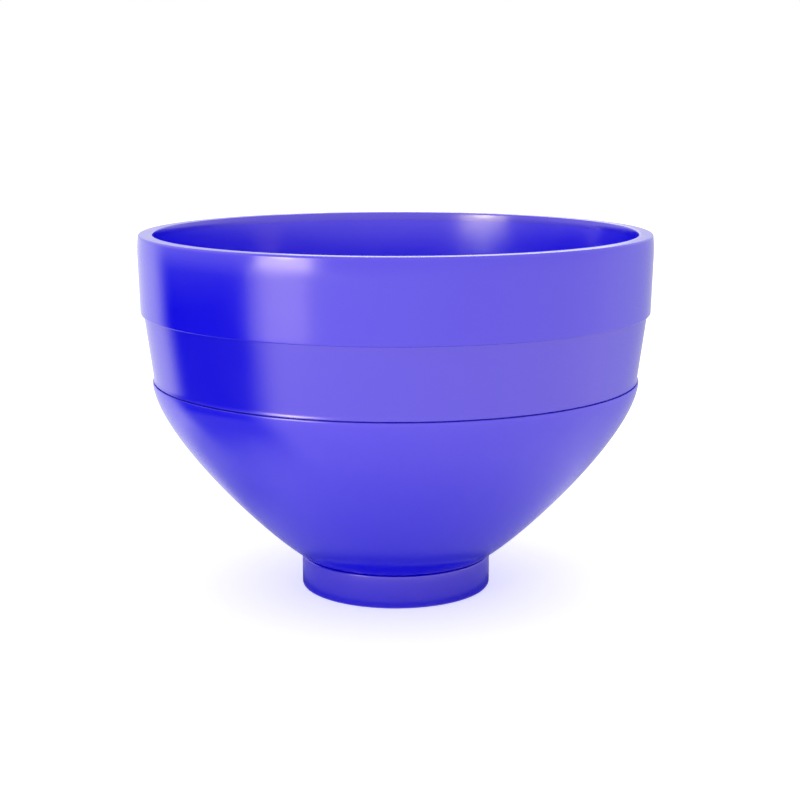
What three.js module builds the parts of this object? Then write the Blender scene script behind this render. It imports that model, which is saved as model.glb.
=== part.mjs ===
// Flexible rubber mixing bowl: a smooth inner cup inside a lower shell, two hoops and a foot.
// Millimetres, +Z up, origin on the axis in the plane that the foot stands on.
import * as THREE from 'three';

// Heights of the four outside zones, stacked from the standing plane up
const FOOT_HEIGHT = 8.8;
const SHELL_HEIGHT = 46.2;
const GRIP_HEIGHT = 17.1;
const RIM_HEIGHT = 19.6;

// Rim hoop: the bowl's largest diameter, its draft, its top edge and the lip over the cup
const RIM_DIAMETER = 130;
const RIM_DRAFT = 1.5;
const RIM_OUTER_ROUND = 0.5;
const RIM_INNER_ROUND = 1.7;
const RIM_LOWER_ROUND = 0.4;
const RIM_CAP_THICKNESS = 2.1;

// Grip hoop: set in from the rim hoop, tapering down and flaring out to a fine lip at the seam
const GRIP_STEP = 0.8;
const GRIP_DRAFT = 7.3;
const LIP_PROUD = 0.45;
const LIP_ROUND = 0.25;
const LIP_ROUND_END = 25;
const FLARE_HEIGHT = 1.4;

// Lower shell: wall, rounded shoulder flush with the lip, and the run of its outside curve
const SHELL_WALL = 1.7;
const SHOULDER_ROUND = 0.3;
const SHELL_RISE_ANGLE = 33;
const SHELL_LOWER_HANDLE = 12;
const SHELL_UPPER_HANDLE = 12.5;

// Foot ring, its edges, and the flat boss under the shell that it is pushed over
const FOOT_DIAMETER = 49;
const FOOT_WALL = 4.5;
const FOOT_OVERHANG = 0.2;
const FOOT_TOP_ROUND = 0.5;
const FOOT_EDGE_ROUND = 0.8;
const FOOT_BORE_ROUND = 0.5;
const RECESS_DEPTH = 2.5;

// Inner cup: wall, draft of its straight part and roundness of its floor
const CUP_WALL = 1.5;
const CUP_DRAFT = 4;
const BASE_WALL = 2.2;
const FLOOR_HANDLE = 12;
const FLOOR_EDGE_HANDLE = 6;

// Laps that lock the hoops to their neighbours, and the bond line between pieces
const RIM_LAP_LENGTH = 4;
const RIM_LAP_WALL = 1.2;
const SEAM_LAP_LENGTH = 3;
const SEAM_LAP_WALL = 0.7;
const SEAM_GAP = 0.3;
const BOND_GAP = 0.3;

// Facets round the axis and along the curves
const SIDES = 60;
const SHELL_STEPS = 10;
const FLOOR_STEPS = 5;
const ROUND_STEPS = 3;
const FLARE_STEPS = 3;
const LAP_STEPS = 2;

const tan = (degrees) => Math.tan(THREE.MathUtils.degToRad(degrees));
const point = (radius, height) => new THREE.Vector2(radius, height);
const toward = (from, degrees, length) =>
  from.clone().add(point(length, 0).rotateAround(point(0, 0), THREE.MathUtils.degToRad(degrees)));

// Levels
const shellTop = FOOT_HEIGHT + SHELL_HEIGHT;
const seamLevel = shellTop + SEAM_GAP;
const rimBottom = seamLevel + GRIP_HEIGHT;
const rimTop = rimBottom + RIM_HEIGHT;
const cupTop = rimTop - RIM_CAP_THICKNESS - BOND_GAP;

// Outside radii, worked inwards and down from the rim
const rimRadius = RIM_DIAMETER / 2;
const rimLowerRadius = rimRadius - RIM_HEIGHT * tan(RIM_DRAFT);
const gripUpperRadius = rimLowerRadius - GRIP_STEP;
const gripRadius = (height) => gripUpperRadius - (rimBottom - height) * tan(GRIP_DRAFT);
const seamRadius = gripRadius(seamLevel) + LIP_PROUD;
const footRadius = FOOT_DIAMETER / 2;
const footBore = footRadius - FOOT_WALL;

// Outside curve of the lower shell, from the foot up to its shoulder
const curveStart = point(footRadius + FOOT_OVERHANG, FOOT_HEIGHT);
const curveEnd = point(seamRadius, shellTop - SHOULDER_ROUND);
const shellCurve = new THREE.CubicBezierCurve(
  curveStart,
  toward(curveStart, SHELL_RISE_ANGLE, SHELL_LOWER_HANDLE),
  toward(curveEnd, -90 - CUP_DRAFT, SHELL_UPPER_HANDLE),
  curveEnd,
);

// Points beside a curve, moved by a distance to its left, which is towards the bowl's inside
function besideCurve(curve, distance, steps) {
  const points = [];
  for (let step = 0; step <= steps; step += 1) {
    const tangent = curve.getTangent(step / steps);
    points.push(curve.getPoint(step / steps).add(point(-tangent.y, tangent.x).multiplyScalar(distance)));
  }
  return points;
}

// Underside of the cup's floor, which runs on smoothly into the inside of the shell's wall
const cupDepth = SHELL_WALL + BOND_GAP;
const floorEdge = besideCurve(shellCurve, cupDepth, SHELL_STEPS)[0];
const floorCentre = point(0, RECESS_DEPTH + BASE_WALL + BOND_GAP);
const floorCurve = new THREE.CubicBezierCurve(
  floorCentre,
  toward(floorCentre, 0, FLOOR_HANDLE),
  toward(floorEdge, 180 + SHELL_RISE_ANGLE, FLOOR_EDGE_HANDLE),
  floorEdge,
);

// Surface at one depth inside the shell's outside, from the floor's centre up to one level
function lining(depth, level) {
  const floor = besideCurve(floorCurve, depth - cupDepth, FLOOR_STEPS);
  const wall = besideCurve(shellCurve, depth, SHELL_STEPS).slice(1);
  const end = wall[wall.length - 1];
  const rim = point(end.x + (level - end.y) * tan(CUP_DRAFT), level);
  return [...floor, ...wall, rim];
}

// Radius of such a surface at a height, and its height at a radius, also between its points
function radiusAt(surface, height) {
  const next = surface.findIndex((candidate, index) => index > 0 && candidate.y >= height);
  const [below, above] = [surface[next - 1], surface[next]];
  return THREE.MathUtils.mapLinear(height, below.y, above.y, below.x, above.x);
}

function heightAt(surface, radius) {
  const next = surface.findIndex((candidate, index) => index > 0 && candidate.x >= radius);
  const [inner, outer] = [surface[next - 1], surface[next]];
  return THREE.MathUtils.mapLinear(radius, inner.x, outer.x, inner.y, outer.y);
}

// Stretch of such a surface between two levels, moved out by a distance
function lapFace(surface, from, to, outwards) {
  const points = [];
  for (let step = 0; step <= LAP_STEPS; step += 1) {
    const height = THREE.MathUtils.lerp(from, to, step / LAP_STEPS);
    points.push(point(radiusAt(surface, height) + outwards, height));
  }
  return points;
}

// Round edge about a centre, between two angles counted from straight out towards up
function roundEdge(radius, height, size, from, to) {
  const points = [];
  for (let step = 0; step <= ROUND_STEPS; step += 1) {
    points.push(toward(point(radius, height), THREE.MathUtils.lerp(from, to, step / ROUND_STEPS), size));
  }
  return points;
}

// A solid of revolution about +Z from a section that runs with its rubber on the left
function revolve(name, section, colour, roughness) {
  const ends = section[0].x === 0 ? section : [...section, section[0]];
  const geometry = new THREE.LatheGeometry(ends, SIDES).rotateX(Math.PI / 2);
  const material = new THREE.MeshStandardMaterial({ color: colour, roughness, metalness: 0 });
  const mesh = new THREE.Mesh(geometry, material);
  mesh.name = name;
  return mesh;
}

const cupOutside = lining(cupDepth, cupTop);
const bandInside = lining(SHELL_WALL, rimTop);

// Inner cup: one smooth thin-walled liner from the floor to just below the rim
function innerCup() {
  const inside = lining(cupDepth + CUP_WALL, cupTop);
  return revolve('inner_cup', [...cupOutside, ...inside.reverse()], '#4a40d2', 0.42);
}

// Rim hoop: a skirt round the cup with a cap over the cup's edge and a pocket for the grip hoop
function rimBand() {
  const capLevel = rimTop - RIM_CAP_THICKNESS;
  const inside = lining(cupDepth + CUP_WALL, rimTop);
  const lapTop = rimBottom + RIM_LAP_LENGTH + BOND_GAP;
  const pocket = RIM_LAP_WALL + BOND_GAP;
  const innerRound = radiusAt(inside, rimTop - RIM_INNER_ROUND) + RIM_INNER_ROUND;
  const section = [
    point(radiusAt(bandInside, rimBottom) + pocket, rimBottom),
    ...roundEdge(rimLowerRadius - RIM_LOWER_ROUND, rimBottom + RIM_LOWER_ROUND, RIM_LOWER_ROUND, -90, 0),
    ...roundEdge(rimRadius - RIM_OUTER_ROUND, rimTop - RIM_OUTER_ROUND, RIM_OUTER_ROUND, 0, 90),
    ...roundEdge(innerRound, rimTop - RIM_INNER_ROUND, RIM_INNER_ROUND, 90, 180),
    point(radiusAt(inside, capLevel), capLevel),
    point(radiusAt(bandInside, capLevel), capLevel),
    point(radiusAt(bandInside, lapTop), lapTop),
    point(radiusAt(bandInside, lapTop) + pocket, lapTop),
  ];
  return revolve('rim_band', section, '#6a5ee0', 0.4);
}

// Grip hoop: tapered, with a tongue up into the rim hoop and one down behind the shell's lip
function gripBand() {
  const shoulder = rimBottom - BOND_GAP;
  const lapTop = rimBottom + RIM_LAP_LENGTH;
  const lapBottom = seamLevel - SEAM_LAP_LENGTH;
  const lip = roundEdge(seamRadius - LIP_ROUND, seamLevel + LIP_ROUND, LIP_ROUND, -90, LIP_ROUND_END);
  const knee = seamLevel + FLARE_HEIGHT / 2;
  const flareTop = seamLevel + FLARE_HEIGHT;
  const flare = new THREE.QuadraticBezierCurve(
    lip[lip.length - 1],
    point(gripRadius(knee), knee),
    point(gripRadius(flareTop), flareTop),
  );
  const section = [
    ...lapFace(bandInside, lapBottom, seamLevel, SEAM_LAP_WALL),
    ...lip,
    ...flare.getPoints(FLARE_STEPS).slice(1),
    point(gripRadius(shoulder), shoulder),
    point(radiusAt(bandInside, shoulder) + RIM_LAP_WALL, shoulder),
    point(radiusAt(bandInside, lapTop) + RIM_LAP_WALL, lapTop),
    point(radiusAt(bandInside, lapTop), lapTop),
    ...lapFace(bandInside, lapBottom, seamLevel, 0).reverse(),
  ];
  return revolve('grip_band', section, '#6f62e2', 0.4);
}

// Lower shell: the outside of the bowl from the seam to the foot, and a dished bottom with a boss
function lowerShell() {
  const lapBottom = seamLevel - SEAM_LAP_LENGTH - BOND_GAP;
  const inside = bandInside.filter((candidate) => candidate.y < lapBottom);
  const outside = lining(0, shellTop).slice(0, -1);
  const boss = footBore - BOND_GAP;
  const section = [
    point(0, RECESS_DEPTH),
    point(boss, RECESS_DEPTH),
    point(boss, heightAt(outside, boss)),
    ...outside.filter((candidate) => candidate.x > boss),
    ...roundEdge(seamRadius - SHOULDER_ROUND, shellTop - SHOULDER_ROUND, SHOULDER_ROUND, 0, 90).slice(1),
    ...lapFace(bandInside, lapBottom, shellTop, SEAM_LAP_WALL + BOND_GAP).reverse(),
    point(radiusAt(bandInside, lapBottom), lapBottom),
    ...inside.reverse(),
  ];
  return revolve('lower_shell', section, '#5a4edf', 0.42);
}

// Foot ring: a collar with a flat annular face to stand on and a top that follows the shell's dish
function footRing() {
  const seat = lining(-BOND_GAP, shellTop);
  const topRoundRadius = footRadius - FOOT_TOP_ROUND;
  const topRoundHeight = heightAt(lining(-BOND_GAP - FOOT_TOP_ROUND, shellTop), topRoundRadius);
  const section = [
    ...roundEdge(footBore + FOOT_BORE_ROUND, FOOT_BORE_ROUND, FOOT_BORE_ROUND, 180, 270),
    ...roundEdge(footRadius - FOOT_EDGE_ROUND, FOOT_EDGE_ROUND, FOOT_EDGE_ROUND, -90, 0),
    ...roundEdge(topRoundRadius, topRoundHeight, FOOT_TOP_ROUND, 0, 90 + SHELL_RISE_ANGLE),
    point(footBore, heightAt(seat, footBore)),
  ];
  return revolve('foot_ring', section, '#4b43cc', 0.45);
}

const bowl = new THREE.Group();
bowl.add(footRing(), lowerShell(), gripBand(), rimBand(), innerCup());

export default bowl;
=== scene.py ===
"""Looks of a flexible rubber mixing bowl: an inner cup, a lower shell, two hoops and a foot ring.

Sizes are in millimetres, as on the maker's drawing, until a mesh is made from them in metres.
A section is a list of (radius, height) points, and each piece is its section turned about +Z.
The studio's own sizes, at the end, are in metres.
"""

import math

import bpy
import numpy as np
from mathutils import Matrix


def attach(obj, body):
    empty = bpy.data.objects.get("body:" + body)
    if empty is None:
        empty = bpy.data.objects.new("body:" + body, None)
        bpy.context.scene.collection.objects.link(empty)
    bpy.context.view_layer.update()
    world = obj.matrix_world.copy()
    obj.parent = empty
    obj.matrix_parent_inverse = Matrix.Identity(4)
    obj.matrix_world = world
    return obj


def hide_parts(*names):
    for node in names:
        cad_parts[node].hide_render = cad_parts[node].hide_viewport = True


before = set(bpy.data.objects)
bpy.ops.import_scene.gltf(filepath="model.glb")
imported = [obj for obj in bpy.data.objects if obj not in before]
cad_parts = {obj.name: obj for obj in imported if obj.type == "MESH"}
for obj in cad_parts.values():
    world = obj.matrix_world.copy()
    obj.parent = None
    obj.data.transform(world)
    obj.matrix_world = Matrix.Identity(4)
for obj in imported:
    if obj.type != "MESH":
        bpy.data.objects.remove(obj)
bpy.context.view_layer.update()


# Inner cup: the liner that the mix touches, one soft rubber wall from the floor to just below the rim.
# It is moulded on a polished core, so its inside is the smoothest face of the bowl, and each later
# piece is bonded round it.

mm = 0.001
foot_height, shell_height, grip_height, rim_height = 8.8, 46.2, 17.1, 19.6
seam_gap, bond_gap, bond_line = 0.3, 0.3, 0.015
shell_top = foot_height + shell_height
seam_level = shell_top + seam_gap
rim_bottom = seam_level + grip_height
rim_top = rim_bottom + rim_height
shell_wall, cup_wall, cup_draft = 1.7, 1.5, 4.0
cap_thickness = 2.1
cup_level = rim_top - cap_thickness - bond_line
foot_radius, foot_overhang, recess_depth, base_wall = 24.5, 0.2, 2.5, 2.2
shell_radius = 61.946  # the solids' radius at the seam, 0.45 more than the grip band's own slope gives
shoulder_round, rise_angle = 0.3, 33.0
shell_lower_handle, shell_upper_handle = 12, 12.5
floor_handle, floor_edge_handle = 12, 6
floor_steps, wall_steps = 20, 44


def toward(start, degrees, length):
    """The point at a distance from start, in a direction counted from straight out towards up."""
    turn = math.radians(degrees)
    return (start[0] + length * math.cos(turn), start[1] + length * math.sin(turn))


def beside(handles, distance, steps):
    """Points along a cubic curve, moved to its left, which is towards the bowl's inside."""
    a, b, c, d = (np.array(handle) for handle in handles)
    t = np.linspace(0, 1, steps + 1)[:, None]
    at = (1 - t) ** 3 * a + 3 * (1 - t) ** 2 * t * b + 3 * (1 - t) * t * t * c + t ** 3 * d
    run = (1 - t) ** 2 * (b - a) + 2 * (1 - t) * t * (c - b) + t * t * (d - c)
    left = np.stack([-run[:, 1], run[:, 0]], axis=1) / np.linalg.norm(run, axis=1)[:, None]
    return [tuple(p) for p in at + distance * left]


curve_start = (foot_radius + foot_overhang, foot_height)
curve_end = (shell_radius, shell_top - shoulder_round)
shell_curve = (
    curve_start,
    toward(curve_start, rise_angle, shell_lower_handle),
    toward(curve_end, -90 - cup_draft, shell_upper_handle),
    curve_end,
)
cup_depth = shell_wall + bond_gap
floor_edge = beside(shell_curve, cup_depth, 1)[0]
floor_centre = (0, recess_depth + base_wall + bond_gap)
floor_curve = (
    floor_centre,
    toward(floor_centre, 0, floor_handle),
    toward(floor_edge, 180 + rise_angle, floor_edge_handle),
    floor_edge,
)


def lining(depth, level):
    """A surface at one depth under the shell's outside, from the floor's centre up to a level."""
    floor = beside(floor_curve, depth - cup_depth, floor_steps)
    wall = beside(shell_curve, depth, wall_steps)[1:]
    end = wall[-1]
    return [*floor, *wall, (end[0] + (level - end[1]) * math.tan(math.radians(cup_draft)), level)]


def radius_at(surface, height):
    """Radius of such a surface at a height."""
    above = next(k for k, p in enumerate(surface) if k and p[1] >= height)
    return float(np.interp(height, *zip(*((p[1], p[0]) for p in surface[above - 1:above + 1]))))


def height_at(surface, radius):
    """Height of such a surface at a radius."""
    outer = next(k for k, p in enumerate(surface) if k and p[0] >= radius)
    return float(np.interp(radius, *zip(*surface[outer - 1:outer + 1])))


def fine(section, longest=1.6, edge=0.12, corner=15):
    """The same section with long stretches cut up, and a point close to each end that turns a corner."""
    steps = [np.subtract(end, start) for start, end in zip(section, section[1:])]
    headings = [math.degrees(math.atan2(z, r)) for r, z in steps]
    bends = [180, *(abs((b - a + 180) % 360 - 180) for a, b in zip(headings, headings[1:])), 180]
    made = []
    for k, (start, step) in enumerate(zip(section, steps)):
        length = float(np.hypot(*step))
        stops = [0.0]
        if length > 4 * edge:
            pieces = max(1, round(length / longest))
            stops += [edge / length] * (bends[k] > corner)
            stops += [j / pieces for j in range(1, pieces)]
            stops += [1 - edge / length] * (bends[k + 1] > corner)
        made += [tuple(start + stop * step) for stop in stops]
    return [*made, section[-1]]


def node(tree, kind, inputs=None, **settings):
    """Adds one node: settings are its own properties, inputs are values or the sockets that feed it."""
    made = tree.nodes.new(kind)
    for name, value in settings.items():
        setattr(made, name, value)
    for key, value in (inputs or {}).items():
        if isinstance(value, bpy.types.NodeSocket):
            tree.links.new(value, made.inputs[key])
        else:
            made.inputs[key].default_value = value
    return made


# The lathe: lays a grid over the section and the turn, bends it round the axis and sets it inwards
# by a slow unevenness, because a soft moulding is never quite round. The unevenness fades towards
# the axis, where all the sides meet in one point.
calm_radius = 15
weld_distance = 1e-6
turning = bpy.data.node_groups.new("turned_rubber", "GeometryNodeTree")
for name, kind in (
    ("Section", "NodeSocketGeometry"), ("Sides", "NodeSocketInt"), ("Unevenness", "NodeSocketFloat"),
    ("Uneven over", "NodeSocketFloat"), ("Seed", "NodeSocketInt"), ("Sharp from", "NodeSocketFloat"),
    ("Rubber", "NodeSocketMaterial"),
):
    turning.interface.new_socket(name, in_out="INPUT", socket_type=kind)
turning.interface.new_socket("Piece", in_out="OUTPUT", socket_type="NodeSocketGeometry")
given = node(turning, "NodeGroupInput").outputs
ends = node(turning, "GeometryNodeAttributeDomainSize", {0: given["Section"]}).outputs["Point Count"]
ring = node(turning, "FunctionNodeIntegerMath", {0: given["Sides"], 1: 1}, operation="ADD").outputs[0]
grid = node(turning, "GeometryNodeMeshGrid", {"Vertices X": ends, "Vertices Y": ring}).outputs[0]
index = node(turning, "GeometryNodeInputIndex").outputs[0]
along = node(turning, "FunctionNodeIntegerMath", {0: index, 1: ring}, operation="DIVIDE").outputs[0]
around = node(turning, "FunctionNodeIntegerMath", {0: index, 1: ring}, operation="MODULO").outputs[0]
place = node(turning, "GeometryNodeInputPosition").outputs[0]
profile = node(
    turning, "GeometryNodeSampleIndex", {0: given["Section"], "Value": place, "Index": along},
    data_type="FLOAT_VECTOR",
).outputs[0]
section_at = node(turning, "ShaderNodeSeparateXYZ", {0: profile}).outputs
step = node(turning, "ShaderNodeMath", {0: -2 * math.pi, 1: given["Sides"]}, operation="DIVIDE").outputs[0]
turn = node(turning, "ShaderNodeMath", {0: around, 1: step}, operation="MULTIPLY").outputs[0]
cosine = node(turning, "ShaderNodeMath", {0: turn}, operation="COSINE").outputs[0]
sine = node(turning, "ShaderNodeMath", {0: turn}, operation="SINE").outputs[0]
outward = node(turning, "ShaderNodeCombineXYZ", {"X": cosine, "Y": sine}).outputs[0]
reach = node(
    turning, "ShaderNodeVectorMath", {0: outward, "Scale": section_at["X"]}, operation="SCALE"
).outputs[0]
lift = node(turning, "ShaderNodeCombineXYZ", {"Z": section_at["Z"]}).outputs[0]
true_place = node(turning, "ShaderNodeVectorMath", {0: reach, 1: lift}, operation="ADD").outputs[0]
density = node(turning, "ShaderNodeMath", {0: 1.0, 1: given["Uneven over"]}, operation="DIVIDE").outputs[0]
uneven = node(
    turning, "ShaderNodeTexNoise",
    {"Vector": true_place, "W": given["Seed"], "Scale": density, "Detail": 1.0, "Roughness": 0.4},
    noise_dimensions="4D",
).outputs[0]
off_axis = node(
    turning, "ShaderNodeMapRange", {"Value": section_at["X"], "From Min": 0.0, "From Max": calm_radius * mm}
).outputs[0]
sunk = node(turning, "ShaderNodeMath", {0: uneven, 1: given["Unevenness"]}, operation="MULTIPLY").outputs[0]
sunk = node(turning, "ShaderNodeMath", {0: sunk, 1: off_axis}, operation="MULTIPLY").outputs[0]
inward = node(turning, "ShaderNodeMath", {0: sunk, 1: -1.0}, operation="MULTIPLY").outputs[0]
offset = node(turning, "ShaderNodeVectorMath", {0: outward, "Scale": inward}, operation="SCALE").outputs[0]
turned = node(
    turning, "GeometryNodeSetPosition", {0: grid, "Position": true_place, "Offset": offset}
).outputs[0]
closed = node(turning, "GeometryNodeMergeByDistance", {0: turned, "Distance": weld_distance}).outputs[0]
smooth = node(turning, "GeometryNodeSetShadeSmooth", {0: closed, "Shade Smooth": True}).outputs[0]
bend = node(turning, "GeometryNodeInputMeshEdgeAngle").outputs["Unsigned Angle"]
corner = node(
    turning, "FunctionNodeCompare", {0: bend, 1: given["Sharp from"]}, operation="GREATER_THAN"
).outputs[0]
crisp = node(
    turning, "GeometryNodeSetShadeSmooth", {0: smooth, "Selection": corner, "Shade Smooth": False},
    domain="EDGE",
).outputs[0]
real = node(turning, "GeometryNodeRealizeInstances", {0: crisp}).outputs[0]
finished = node(turning, "GeometryNodeSetMaterial", {0: real, "Material": given["Rubber"]}).outputs[0]
node(turning, "NodeGroupOutput", {0: finished})


def turn_piece(name, section, rubber, seed, sides=240, unevenness=0.025, over=38, sharp_from=36):
    """One closed rubber piece from its section, which runs with its rubber on the left."""
    ends = section if section[0][0] == 0 else [*section, section[0]]
    corners = [(radius * mm, 0, height * mm) for radius, height in ends]
    outline = bpy.data.meshes.new(name + "_section")
    outline.from_pydata(corners, [(k, k + 1) for k in range(len(corners) - 1)], [])
    blank = bpy.data.objects.new(name + "_section", outline)
    bpy.context.scene.collection.objects.link(blank)
    lathe = blank.modifiers.new("lathe", "NODES")
    lathe.node_group = turning
    socket = {item.name: item.identifier for item in turning.interface.items_tree}
    lathe[socket["Sides"]] = sides
    lathe[socket["Unevenness"]] = unevenness * mm
    lathe[socket["Uneven over"]] = over * mm
    lathe[socket["Seed"]] = seed
    lathe[socket["Sharp from"]] = math.radians(sharp_from)
    lathe[socket["Rubber"]] = rubber
    ready = blank.evaluated_get(bpy.context.evaluated_depsgraph_get())
    piece = bpy.data.objects.new(name, bpy.data.meshes.new_from_object(ready))
    piece.data.name = name
    bpy.context.scene.collection.objects.link(piece)
    bpy.data.objects.remove(blank)
    bpy.data.meshes.remove(outline)
    return piece


def linear(colour):
    """An sRGB hex colour as the linear values that a shader works in."""
    parts = [int(colour[k:k + 2], 16) / 255 for k in (1, 3, 5)]
    return (*(c / 12.92 if c <= 0.04045 else ((c + 0.055) / 1.055) ** 2.4 for c in parts), 1.0)


def moulded_rubber(name, colour, cloudy_colour, roughness, ior, ring_spacing, worn_from, worn_to):
    """A coloured natural rubber with a satin gloss, its skin marked by its mould and rubbed at one edge."""
    cloud_size, patch_size, smear_size, peel_size, ring_length = 25 * mm, 4 * mm, 9 * mm, 5 * mm, 60 * mm
    worn_colour, worn_dullness, smear_change, sheen_colour = "#241df0", 0.04, 0.015, "#ffe3b2"
    ring_share, relief_depth = 0.16, 0.01 * mm
    material = bpy.data.materials.new(name)
    material.use_nodes = True
    tree = material.node_tree
    tree.nodes.clear()
    place = node(tree, "ShaderNodeTexCoord").outputs["Object"]
    # Filler and pigment never mix quite evenly, which leaves clouds that are barely darker
    clouds = node(
        tree, "ShaderNodeTexNoise", {"Vector": place, "Scale": 1 / cloud_size, "Detail": 3.0}
    ).outputs[0]
    tint = node(
        tree, "ShaderNodeMix", {"Factor": clouds, "A": linear(colour), "B": linear(cloudy_colour)},
        data_type="RGBA",
    ).outputs["Result"]
    # The edge that touches hands and bench is rubbed paler, in patches
    height = node(tree, "ShaderNodeSeparateXYZ", {0: place}).outputs["Z"]
    edge = node(
        tree, "ShaderNodeMapRange", {"Value": height, "From Min": worn_from * mm, "From Max": worn_to * mm}
    ).outputs[0]
    patches = node(
        tree, "ShaderNodeTexNoise", {"Vector": place, "Scale": 1 / patch_size, "Detail": 3.0}
    ).outputs[0]
    worn = node(tree, "ShaderNodeMath", {0: edge, 1: patches}, operation="MULTIPLY").outputs[0]
    skin_colour = node(
        tree, "ShaderNodeMix", {"Factor": worn, "A": tint, "B": linear(worn_colour)}, data_type="RGBA"
    ).outputs["Result"]
    # Handling leaves slightly duller and shinier places, and wear dulls the edge
    smears = node(
        tree, "ShaderNodeTexNoise", {"Vector": place, "Scale": 1 / smear_size, "Detail": 4.0}
    ).outputs[0]
    handled = node(
        tree, "ShaderNodeMapRange",
        {"Value": smears, "From Min": 0.3, "From Max": 0.7,
         "To Min": roughness - smear_change, "To Max": roughness + smear_change},
    ).outputs[0]
    dullness = node(
        tree, "ShaderNodeMath", {0: worn, 1: worn_dullness, 2: handled}, operation="MULTIPLY_ADD"
    ).outputs[0]
    # Cooling leaves a faint orange peel, and the lathe that cut the mould left rings, in truth
    # about 0.2 mm apart and drawn coarser so that they show
    peel = node(
        tree, "ShaderNodeTexNoise", {"Vector": place, "Scale": 1 / peel_size, "Detail": 2.0}
    ).outputs[0]
    flattened = node(
        tree, "ShaderNodeMapping",
        {"Vector": place, "Scale": (1 / ring_length, 1 / ring_length, 1 / (ring_spacing * mm))},
    ).outputs[0]
    tool_rings = node(
        tree, "ShaderNodeTexNoise", {"Vector": flattened, "Scale": 1.0, "Detail": 1.0}
    ).outputs[0]
    relief = node(
        tree, "ShaderNodeMath", {0: tool_rings, 1: ring_share, 2: peel}, operation="MULTIPLY_ADD"
    ).outputs[0]
    skin = node(
        tree, "ShaderNodeBump", {"Strength": 1.0, "Distance": relief_depth, "Height": relief}
    ).outputs[0]
    # The sheen is warm, because the real bowl's pale places are less blue than white light over its
    # own blue would make them
    shader = node(
        tree, "ShaderNodeBsdfPrincipled",
        {"Base Color": skin_colour, "Roughness": dullness, "IOR": ior, "Normal": skin,
         "Specular IOR Level": 1.0, "Specular Tint": linear(sheen_colour)},
    )
    node(tree, "ShaderNodeOutputMaterial", {"Surface": shader.outputs[0]})
    return material


cup_inside = lining(cup_depth + cup_wall, cup_level)
cup = turn_piece(
    "inner_cup_liner",
    fine([*lining(cup_depth, cup_level), *reversed(cup_inside)]),
    # Rubber off a polished core: an even satin, and rubbed paler low down, where the spatula scrapes
    # Its blue is set lighter than the other pieces', painted light that makes up for the shade inside the
    # bowl
    moulded_rubber(
        "polished_core_rubber", "#0500f4", "#0400ef", roughness=0.19, ior=1.67, ring_spacing=1.4,
        worn_from=26, worn_to=5,
    ),
    seed=3,
)
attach(cup, "root")
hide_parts("inner_cup")


# Lower shell: the bowl's outside from the seam to the foot, with a narrow shoulder and a dished bottom.
# It is a moulding of the same rubber, slipped over the cup and bonded to it, with its lip standing
# outside the grip band's tongue.

seam_lap, seam_lap_wall, lap_steps = 3.0, 0.7, 4
foot_wall = 4.5
foot_bore = foot_radius - foot_wall
band_inside = lining(shell_wall, rim_top)


def lap_face(low, high, outwards):
    """The stretch of the bands' inside between two levels, moved out by a distance."""
    return [(radius_at(band_inside, z) + outwards, z) for z in np.linspace(low, high, lap_steps + 1)]


def round_edge(radius, height, size, start, end, steps=9):
    """A round edge about a centre, between two angles counted from straight out towards up."""
    return [toward((radius, height), angle, size) for angle in np.linspace(start, end, steps)]


# The shoulder has a slanting face under the seam line, which catches the light as a fine bright line
seam_line, shoulder_face, shoulder_tilt, shoulder_edge = 0.24, 0.22, 9, 0.1
shoulder_start = (shell_radius, seam_level - seam_line - shoulder_face - shoulder_edge)
shoulder_end = toward(shoulder_start, 90 + shoulder_tilt, shoulder_face)
shell_lap_bottom = seam_level - seam_lap - bond_gap
shell_outside = lining(0, shell_top)[:-1]
boss = foot_bore - bond_gap
shell_section = [
    (0, recess_depth),
    (boss, recess_depth),
    (boss, height_at(shell_outside, boss)),
    *(p for p in shell_outside if p[0] > boss),
    shoulder_start,
    *round_edge(*toward(shoulder_end, 180 + shoulder_tilt, shoulder_edge), shoulder_edge, shoulder_tilt, 90),
    *reversed(lap_face(shell_lap_bottom, seam_level - seam_line, seam_lap_wall + bond_gap)),
    (radius_at(band_inside, shell_lap_bottom), shell_lap_bottom),
    *reversed([p for p in band_inside if p[1] < shell_lap_bottom]),
]
shell = turn_piece(
    "lower_shell_moulding",
    fine(shell_section),
    # Rubber off a turned mould: the same satin over faint rings, and rubbed paler along the shoulder
    moulded_rubber(
        "moulded_shell_rubber", "#0500ec", "#0400e7", roughness=0.19, ior=1.72, ring_spacing=1.8,
        worn_from=shell_top - 1.2, worn_to=shell_top,
    ),
    seed=11,
)
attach(shell, "root")
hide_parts("lower_shell")


# Grip band: the tapered hoop that the hand holds, flaring out to a round lip above the seam.
# Its tongues run up behind the rim band and down behind the shell's lip, and hold it while the
# bond sets.

grip_step, grip_draft, rim_draft = 0.8, 7.3, 1.5
rim_radius = 65.0
rim_lap, rim_lap_wall = 4.0, 1.2
rim_lower_radius = rim_radius - rim_height * math.tan(math.radians(rim_draft))
grip_upper_radius = rim_lower_radius - grip_step


def grip_radius(height):
    """Outside radius of the grip band at a height."""
    return grip_upper_radius - (rim_bottom - height) * math.tan(math.radians(grip_draft))


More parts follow.
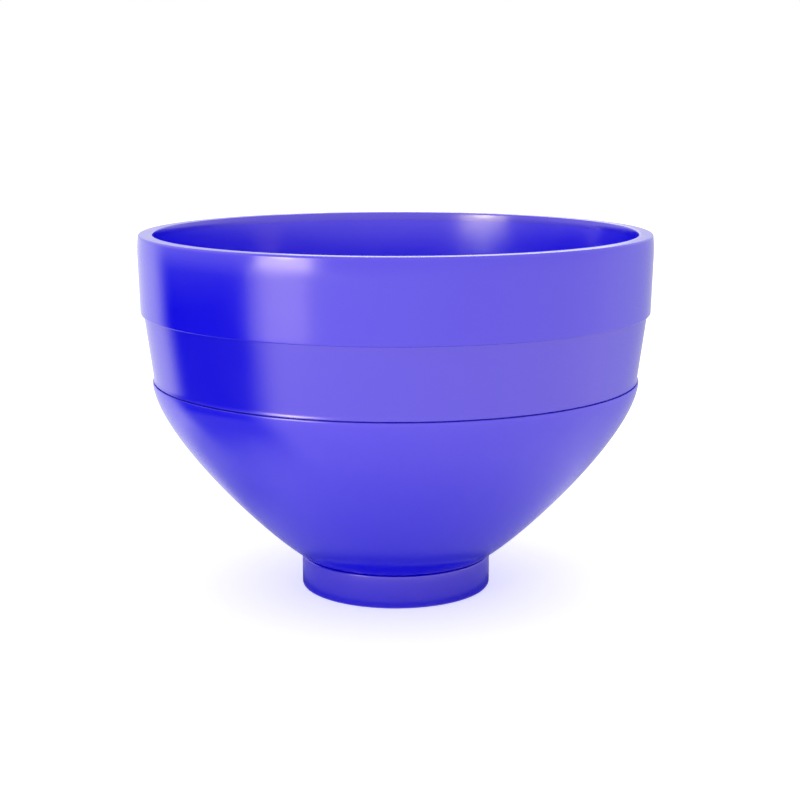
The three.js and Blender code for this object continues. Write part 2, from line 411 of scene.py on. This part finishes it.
# The flare is one arc that leaves the band's own slope and ends on the lip's round edge
lip_round, flare_height, flare_tilt, flare_points = 0.1, 1.0, 18, 14
flare_top = seam_level + flare_height
flare_end = seam_level + lip_round * (1 + math.sin(math.radians(flare_tilt)))
flare_turn = math.sin(math.radians(grip_draft)) + math.sin(math.radians(flare_tilt))
flare_bend = (flare_top - flare_end) / flare_turn
flare_centre = toward((grip_radius(flare_top), flare_top), -grip_draft, flare_bend)
flare = round_edge(*flare_centre, flare_bend, 180 + flare_tilt, 180 - grip_draft, flare_points)
lip = round_edge(*toward(flare[0], 180 + flare_tilt, lip_round), lip_round, -90, flare_tilt)
grip_shoulder = rim_bottom - bond_line
grip_tongue = rim_bottom + rim_lap
grip_section = [
    *lap_face(seam_level - seam_lap, seam_level, seam_lap_wall),
    *lip,
    *flare[1:],
    (grip_radius(grip_shoulder), grip_shoulder),
    (radius_at(band_inside, grip_shoulder) + rim_lap_wall, grip_shoulder),
    (radius_at(band_inside, grip_tongue) + rim_lap_wall, grip_tongue),
    (radius_at(band_inside, grip_tongue), grip_tongue),
    *reversed(lap_face(seam_level - seam_lap, seam_level, 0)),
]
grip = turn_piece(
    "grip_band_hoop",
    fine(grip_section),
    # Rubber that hands keep polished: a stronger sheen than the shell's, and a lip rubbed paler
    moulded_rubber(
        "handled_band_rubber", "#0500e7", "#0400e2", roughness=0.175, ior=1.79, ring_spacing=1.5,
        worn_from=seam_level + 1, worn_to=seam_level,
    ),
    seed=23,
)
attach(grip, "root")
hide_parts("grip_band")


# Rim band: the thick hoop that stiffens the mouth, with a cap over the cup's edge.
# It is pressed down over the cup and the grip band's tongue and bonded, and its crown is rounded
# because rubber shrinks most at a thick free edge.

rim_outer_round, rim_inner_round, rim_lower_round = 0.5, 0.3, 0.25
crown_height, crown_ease, crown_points = 5.5, 0.4, 14
bore_crown_height, bore_crown_ease, bore_points = 1.4, 0.07, 10
cap_level = rim_top - cap_thickness
rim_inside = lining(cup_depth + cup_wall, rim_top)
pocket_top = rim_bottom + rim_lap + bond_gap
pocket = rim_lap_wall + bond_gap


def rim_face(height):
    """Outside radius of the rim band at a height: a straight draft, easing inwards over the crown."""
    straight = rim_lower_radius + (height - rim_bottom) * math.tan(math.radians(rim_draft))
    rise = max(0.0, height - (rim_top - crown_height)) / crown_height
    return straight - crown_ease * rise ** 2


def rim_bore(height):
    """Inside radius of the rim band at a height: the cup's own draft, easing outwards at the mouth."""
    rise = max(0.0, height - (rim_top - bore_crown_height)) / bore_crown_height
    return radius_at(rim_inside, height) + bore_crown_ease * rise ** 2


crown_end = rim_top - rim_outer_round
crown = [(rim_face(z), z) for z in np.linspace(rim_top - crown_height, crown_end, crown_points)]
crown_tilt = math.degrees(math.atan2(crown[-2][0] - crown[-1][0], crown[-1][1] - crown[-2][1]))
bore_end = rim_top - rim_inner_round
bore = [(rim_bore(z), z) for z in np.linspace(bore_end, rim_top - bore_crown_height, bore_points)]
bore_tilt = math.degrees(math.atan2(bore[0][0] - bore[1][0], bore[0][1] - bore[1][1]))
rim_section = [
    (radius_at(band_inside, rim_bottom) + pocket, rim_bottom),
    *round_edge(rim_lower_radius - rim_lower_round, rim_bottom + rim_lower_round, rim_lower_round, -90, 0),
    *crown,
    *round_edge(crown[-1][0] - rim_outer_round, crown_end, rim_outer_round, crown_tilt, 90)[1:],
    *round_edge(bore[0][0] + rim_inner_round, bore_end, rim_inner_round, 90, 180 - bore_tilt)[:-1],
    *bore,
    (radius_at(rim_inside, cap_level), cap_level),
    (radius_at(band_inside, cap_level), cap_level),
    (radius_at(band_inside, pocket_top), pocket_top),
    (radius_at(band_inside, pocket_top) + pocket, pocket_top),
]
rim = turn_piece(
    "rim_band_hoop",
    fine(rim_section),
    # Rubber of a thick hoop, which cools slowly against the mould: the glossiest skin of the bowl
    moulded_rubber(
        "crowned_rim_rubber", "#0500e9", "#0400e4", roughness=0.15, ior=1.72, ring_spacing=1.5,
        worn_from=rim_top - 1, worn_to=rim_top,
    ),
    seed=3,  # the cup's own seed: their insides are uneven alike, and stay level at the joint
)
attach(rim, "root")
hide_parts("rim_band")


# Foot ring: the collar that the bowl stands on, a thick ring of rubber pushed over the shell's boss.
# Its top follows the shell's dish, and its lower edge is rounded off so that the foot doesn't peel
# when the bowl is dragged over the bench.

foot_top_round, foot_edge_round, foot_bore_round, seat_margin = 0.35, 0.5, 0.5, 0.4
seat = lining(-bond_line, shell_top)
top_round_radius = foot_radius - foot_top_round
top_round_height = height_at(lining(-bond_line - foot_top_round, shell_top), top_round_radius)
seat_end = toward((top_round_radius, top_round_height), 90 + rise_angle, foot_top_round)
foot_section = [
    *round_edge(foot_bore + foot_bore_round, foot_bore_round, foot_bore_round, 180, 270),
    *round_edge(foot_radius - foot_edge_round, foot_edge_round, foot_edge_round, -90, 0),
    *round_edge(top_round_radius, top_round_height, foot_top_round, 0, 90 + rise_angle),
    *reversed([p for p in seat if foot_bore + seat_margin < p[0] < seat_end[0] - seat_margin]),
    (foot_bore, height_at(seat, foot_bore)),
]
foot = turn_piece(
    "foot_ring_collar",
    fine(foot_section),
    # Rubber that stands on the bench: the dullest skin of the bowl, with a scuffed lower edge
    # Its blue is set darker than the other pieces', painted shade for the shade that falls on the foot under
    # the bowl
    moulded_rubber(
        "standing_foot_rubber", "#0500dd", "#0400d8", roughness=0.215, ior=1.74, ring_spacing=1.2,
        worn_from=1.6, worn_to=0.2,
    ),
    seed=41,
)
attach(foot, "root")
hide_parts("foot_ring")


# Studio: a sheet of matt white paper in a white room. It takes the bowl's soft shadow, and it glows
# a little for the camera and for gloss, so that it looks as white as the room.

floor_half, paper_white, glow_for_camera, glow_for_gloss = 6, 0.96, 0.4, 0.1
floor_mesh = bpy.data.meshes.new("studio_floor")
floor_corners = [(x * floor_half, y * floor_half, 0) for x, y in ((-1, -1), (1, -1), (1, 1), (-1, 1))]
floor_mesh.from_pydata(floor_corners, [], [(0, 1, 2, 3)])
floor = bpy.data.objects.new("studio_floor", floor_mesh)
bpy.context.scene.collection.objects.link(floor)
paper = bpy.data.materials.new("matt_white_paper")
paper.use_nodes = True
paper_tree = paper.node_tree
paper_tree.nodes.clear()
seen = node(paper_tree, "ShaderNodeLightPath").outputs
glossed = node(
    paper_tree, "ShaderNodeMath", {0: seen["Is Glossy Ray"], 1: glow_for_gloss}, operation="MULTIPLY"
).outputs[0]
lit = node(
    paper_tree, "ShaderNodeMath", {0: seen["Is Camera Ray"], 1: glow_for_camera, 2: glossed},
    operation="MULTIPLY_ADD",
).outputs[0]
matt = node(paper_tree, "ShaderNodeBsdfDiffuse", {"Color": (paper_white, paper_white, paper_white, 1)})
glow = node(paper_tree, "ShaderNodeEmission", {"Strength": lit})
page = node(paper_tree, "ShaderNodeAddShader", {0: matt.outputs[0], 1: glow.outputs[0]}).outputs[0]
node(paper_tree, "ShaderNodeOutputMaterial", {"Surface": page})
floor_mesh.materials.append(paper)

world = bpy.data.worlds.new("white_room")
bpy.context.scene.world = world
world.use_nodes = True
world.node_tree.nodes.clear()
room = node(world.node_tree, "ShaderNodeBackground", {"Color": linear("#ffffff"), "Strength": 1.0})
node(world.node_tree, "ShaderNodeOutputWorld", {"Surface": room.outputs[0]})


# Painted dark reflection: a round black sheet lies on the floor round the foot, and its edge stands up
# in a ring. It is dark in four places and clear elsewhere, and only gloss sees it, so neither floor nor
# bowl loses light. The darkest place, at the left, is what the bands mirror as their deep blue patch.

patch_right, patch_left, corner_softness = (-0.0368, -0.0536), (-0.0574, -0.0305), 0.006
right_side, right_side_swing, right_softness = -60, 1.7, 0.18
left_side, left_softness = -124, 0.11
near_darkness, behind_darkness, shadow_hem_darkness = 0.42, 0.33, 0.42
# The round mat round the foot is painted shadow: it stands in for the bowl's own shadow on the floor, where
# shell and foot mirror it
shadow_mat_darkness, shadow_mat_radius, shadow_mat_fade, shadow_mat_curve = 0.44, 0.078, 0.052, 1.1


def ease(value, start, end):
    """A smooth step from 0 at start to 1 at end."""
    t = min(1.0, max(0.0, (value - start) / (end - start)))
    return t * t * (3 - 2 * t)


def beyond(x, y, corner, azimuth, softness):
    """How far a place lies to the left of a line, which leaves a corner at an azimuth and grows softer."""
    turn = math.radians(azimuth)
    away = (x - corner[0]) * math.sin(turn) - (y - corner[1]) * math.cos(turn)
    aside = -(x - corner[0]) * math.cos(turn) - (y - corner[1]) * math.sin(turn)
    half = corner_softness + softness * max(0.0, away)
    return ease(aside, -half, half)


def patch_cover(x, y, z, out):
    """The dark wedge that the bands mirror as a painted dark reflection, whose right side swings out a
    little low down on the ring.
    """
    off_floor = ease(z, 0, 0.006)
    right = right_side - right_side_swing * ease(z, 0.035, 0.018) * off_floor
    wedge = beyond(x, y, patch_right, right, right_softness)
    wedge *= 1 - beyond(x, y, patch_left, left_side, left_softness)
    away_from_bowl, under_the_top = ease(out, 0.05, 0.12), ease(z, 0.118, 0.06)
    return wedge * away_from_bowl * under_the_top * (0.8 + 0.2 * off_floor)


def near_cover(out, azimuth):
    """A less dark place close to the bowl at the left, which carries the painted dark reflection down over
    the shell.
    """
    in_ring = ease(out, 0.035, 0.06) * ease(out, 0.13, 0.09)
    in_sector = ease(azimuth, -45, -80) * ease(azimuth, -128, -100)
    return near_darkness * in_ring * in_sector


def painted_shadow_cover(out):
    """Painted shadow in the floor's reflection: a round mat that deepens towards the foot, with a darker hem
    against it.
    """
    mat = shadow_mat_darkness * min(1, max(0, shadow_mat_radius - out) / shadow_mat_fade) ** shadow_mat_curve
    return mat + shadow_hem_darkness * ease(out, 0.03, 0.0255)


def behind_cover(z, out, azimuth):
    """A faint place behind the bowl at the right, whose painted dark reflection gives the back of the bowl
    its own shading.
    """
    in_sector = ease(azimuth % 360, 80, 125) * ease(azimuth % 360, 218, 180)
    away_from_bowl, under_the_top = ease(out, 0.06, 0.1), ease(z, 0.105, 0.085)
    return behind_darkness * in_sector * away_from_bowl * under_the_top


def dark_reflection_cover(x, y, z):
    """How dark the painted reflection is at a place, from none to full."""
    out, azimuth = math.hypot(x, y), math.degrees(math.atan2(x, -y))
    bare = (1 - patch_cover(x, y, z, out)) * (1 - near_cover(out, azimuth))
    return 1 - bare * (1 - painted_shadow_cover(out)) * (1 - behind_cover(z, out, azimuth))


sheet_radius, sheet_lift, sheet_sides = 0.155, 0.0003, 180
lying = [0.0248, 0.027, *np.linspace(0.03, sheet_radius, 26)]
standing = [0.003, 0.006, *np.linspace(0.02, 0.14, 13)]
sheet_rings = [(r, sheet_lift) for r in lying] + [(sheet_radius, z) for z in standing]
turns = [math.radians(360 / sheet_sides * k) for k in range(sheet_sides)]
spots = [(r * math.sin(t), -r * math.cos(t), z) for r, z in sheet_rings for t in turns]
squares = [
    (
        k * sheet_sides + j,
        k * sheet_sides + (j + 1) % sheet_sides,
        (k + 1) * sheet_sides + (j + 1) % sheet_sides,
        (k + 1) * sheet_sides + j,
    )
    for k in range(len(sheet_rings) - 1) for j in range(sheet_sides)
]
dark_reflection_mesh = bpy.data.meshes.new("painted_dark_reflection")
dark_reflection_mesh.from_pydata(spots, [], squares)
cover = dark_reflection_mesh.attributes.new("cover", "FLOAT", "POINT")
cover.data.foreach_set("value", [dark_reflection_cover(*spot) for spot in spots])
dark_reflection_sheet = bpy.data.objects.new("painted_dark_reflection", dark_reflection_mesh)
bpy.context.scene.collection.objects.link(dark_reflection_sheet)
dark_reflection_sheet.visible_camera = dark_reflection_sheet.visible_diffuse = dark_reflection_sheet.visible_shadow = False
dark_reflection_material = bpy.data.materials.new("painted_dark_reflection_shader")
dark_reflection_material.use_nodes = True
dark_reflection_tree = dark_reflection_material.node_tree
dark_reflection_tree.nodes.clear()
# The cover attribute mixes clear with black: a painted dark reflection, which only gloss sees
thickness = node(dark_reflection_tree, "ShaderNodeAttribute", attribute_name="cover").outputs["Fac"]
gap = node(dark_reflection_tree, "ShaderNodeBsdfTransparent").outputs[0]
black = node(dark_reflection_tree, "ShaderNodeBsdfDiffuse", {"Color": linear("#000000")}).outputs[0]
sheet_shading = node(dark_reflection_tree, "ShaderNodeMixShader", {0: thickness, 1: gap, 2: black}).outputs[0]
node(dark_reflection_tree, "ShaderNodeOutputMaterial", {"Surface": sheet_shading})
dark_reflection_mesh.materials.append(dark_reflection_material)


# Softboxes: the key is four lamps, left of the camera and low, for the bright mark under the rim and
# along the seam. The inner ones are smaller and brighter, and the fringe softens the right edge. Two
# low ones carry the light band down the rim, and a strip behind the bowl brightens the rim's flat top.

aim_height = 0.07


def softbox(name, azimuth, elevation, distance, width, height, radiance, tint="#ffffff"):
    """An area lamp that faces the bowl; azimuth 0 is the camera's side and grows to the right."""
    turn, rise = math.radians(azimuth), math.radians(elevation)
    lamp = bpy.data.lights.new(name, "AREA")
    lamp.shape, lamp.size, lamp.size_y = "RECTANGLE", width, height
    lamp.energy = radiance * math.pi * width * height
    lamp.color = linear(tint)[:3]
    holder = bpy.data.objects.new(name, lamp)
    holder.location = (
        distance * math.cos(rise) * math.sin(turn),
        -distance * math.cos(rise) * math.cos(turn),
        aim_height + distance * math.sin(rise),
    )
    holder.rotation_euler = (math.radians(90) - rise, 0, turn)
    holder.visible_camera = False
    bpy.context.scene.collection.objects.link(holder)


key_side, fringe_side, back_side = -47, -44.9, 177.5
softbox("key_softbox", key_side, 5.1, distance=1.2, width=0.58, height=0.345, radiance=1.1)
softbox("key_fringe", fringe_side, 5.1, distance=1.15, width=0.65, height=0.33, radiance=0.4)
softbox("key_middle", key_side, 6.1, distance=1.25, width=0.5, height=0.29, radiance=1.7, tint="#f2fff4")
softbox("key_core", key_side, 9.1, distance=1.3, width=0.22, height=0.15, radiance=5.0, tint="#ebffed")
softbox("back_strip", back_side, 8.3, distance=1.6, width=0.42, height=0.11, radiance=1.0)
softbox("low_strip", key_side, -4, distance=0.32, width=0.14, height=0.09, radiance=0.46)
softbox("low_fringe", fringe_side, -4, distance=0.31, width=0.16, height=0.087, radiance=0.22)


# Camera: in front of the bowl and a little above its rim, at the photograph's distance and angle.

camera_distance, camera_height, look_down, look_aside = 0.4156, 0.1287, 10.94, -0.151
camera = bpy.data.objects.new("camera", bpy.data.cameras.new("camera"))
camera.location = (0, -camera_distance, camera_height)
camera.rotation_euler = (math.radians(90 - look_down), 0, math.radians(look_aside))
camera.data.lens = 73.7
camera.data.sensor_width = 36
camera.data.clip_start = 0.01
bpy.context.scene.collection.objects.link(camera)
bpy.context.scene.camera = camera
bpy.context.scene.view_settings.view_transform = "Standard"
